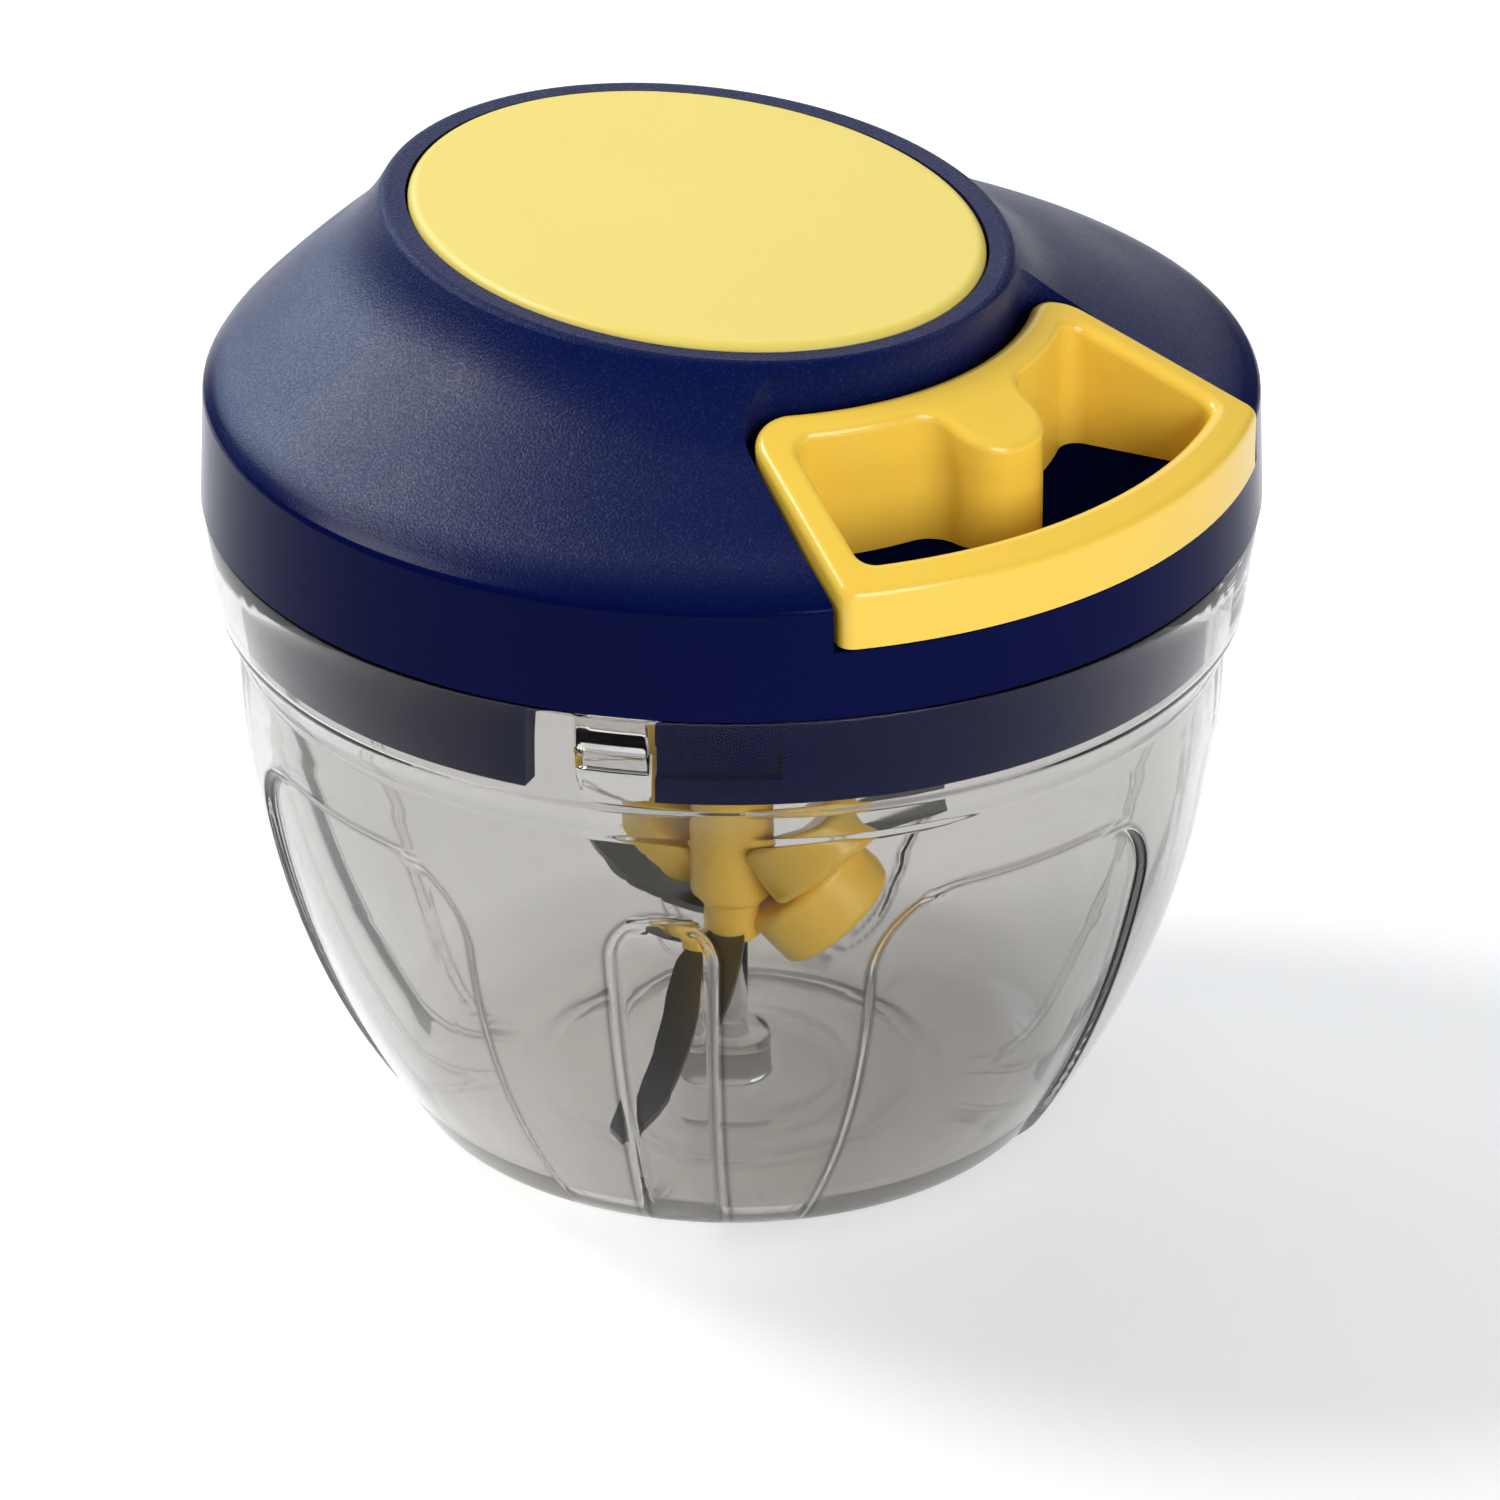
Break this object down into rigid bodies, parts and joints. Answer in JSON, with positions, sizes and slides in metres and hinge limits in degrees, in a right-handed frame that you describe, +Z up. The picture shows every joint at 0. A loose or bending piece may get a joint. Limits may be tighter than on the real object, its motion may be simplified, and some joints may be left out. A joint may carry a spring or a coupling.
{
  "type": "vegetable chopper",
  "caption": "Hand-pulled vegetable chopper: clear round bowl, twist-lock domed lid with a loop handle on a spring-wound cord, and a stem of steel blades that turns on a pin.",
  "frame": {"origin": "centre of the bowl's foot on the surface it stands on", "axes": "+Z up along the bowl's axis, -Y the way the handle is pulled, +X to the handle's right seen from behind it"},
  "size_m": [0.125, 0.125, 0.1151],
  "materials": {
    "clear_plastic": "clear polished",
    "navy_plastic": "fine grained",
    "handle_plastic": "glossy",
    "cap_plastic": "satin",
    "holder_plastic": "satin",
    "white_plastic": "satin",
    "cord": "braided",
    "blade_steel": "brushed",
    "fastener_steel": "plated"
  },
  "bodies": {
    "bowl": {"bowl": "clear_plastic"},
    "axle": {"axle": "fastener_steel", "top_washer": "fastener_steel", "top_screw": "fastener_steel", "hub_washer": "fastener_steel", "hub_screw": "fastener_steel"},
    "lid": {"lid_housing": "navy_plastic", "lid_base": "navy_plastic", "base_screws": "fastener_steel", "top_cap": "cap_plastic", "cord_guide": "white_plastic", "pull_cord": "cord"},
    "handle": {"pull_handle": "handle_plastic", "cord_knot": "cord"},
    "reel": {"reel": "white_plastic", "cord_winding": "cord", "return_spring": "fastener_steel", "spring_cover": "white_plastic"},
    "hub": {"clutch_hub": "white_plastic", "pawl_pins": "fastener_steel"},
    "pawl_1": {"pawl_1": "white_plastic"},
    "pawl_2": {"pawl_2": "white_plastic"},
    "blades": {"blade_holder": "holder_plastic", "blade_lower": "blade_steel", "blade_middle": "blade_steel", "blade_upper": "blade_steel"}
  },
  "joints": [
    {"name": "lid_lift", "type": "slide", "parent": "bowl", "child": "axle", "axis": [0, 0, 1], "range_m": [0, 0.12]},
    {"name": "lid_twist", "type": "hinge", "parent": "axle", "child": "lid", "pos_m": [0, 0, 0.081], "axis": [0, 0, -1], "range_deg": [0, 14]},
    {"name": "handle_pull", "type": "slide", "parent": "lid", "child": "handle", "axis": [0, -1, 0], "range_m": [0, 0.28], "stiffness_N_per_m": 35, "springref_m": -0.1, "deforming": ["pull_cord"]},
    {"name": "reel_spin", "type": "hinge", "parent": "axle", "child": "reel", "pos_m": [0, 0, 0.096], "axis": [0, 0, 1], "range_deg": [0, 803]},
    {"name": "hub_spin", "type": "hinge", "parent": "axle", "child": "hub", "pos_m": [0, 0, 0.0874], "axis": [0, 0, 1], "range_deg": [0, 803]},
    {"name": "pawl_1_swing", "type": "hinge", "parent": "hub", "child": "pawl_1", "pos_m": [0.0047, 0.00883, 0.0897], "axis": [0, 0, -1], "range_deg": [0, 12], "stiffness_Nm_per_rad": 0.002, "springref_deg": -11.46},
    {"name": "pawl_2_swing", "type": "hinge", "parent": "hub", "child": "pawl_2", "pos_m": [-0.0047, -0.00883, 0.0897], "axis": [0, 0, -1], "range_deg": [0, 12], "stiffness_Nm_per_rad": 0.002, "springref_deg": -11.46},
    {"name": "blade_spin", "type": "hinge", "parent": "bowl", "child": "blades", "pos_m": [0, 0, 0.02], "axis": [0, 0, 1], "range_deg": [0, 803]}
  ],
  "couplings": [
    {"joint": "reel_spin", "follows": "handle_pull", "rad_per_m": 50},
    {"joint": "hub_spin", "follows": "handle_pull", "rad_per_m": 50},
    {"joint": "blade_spin", "follows": "handle_pull", "rad_per_m": 50}
  ]
}
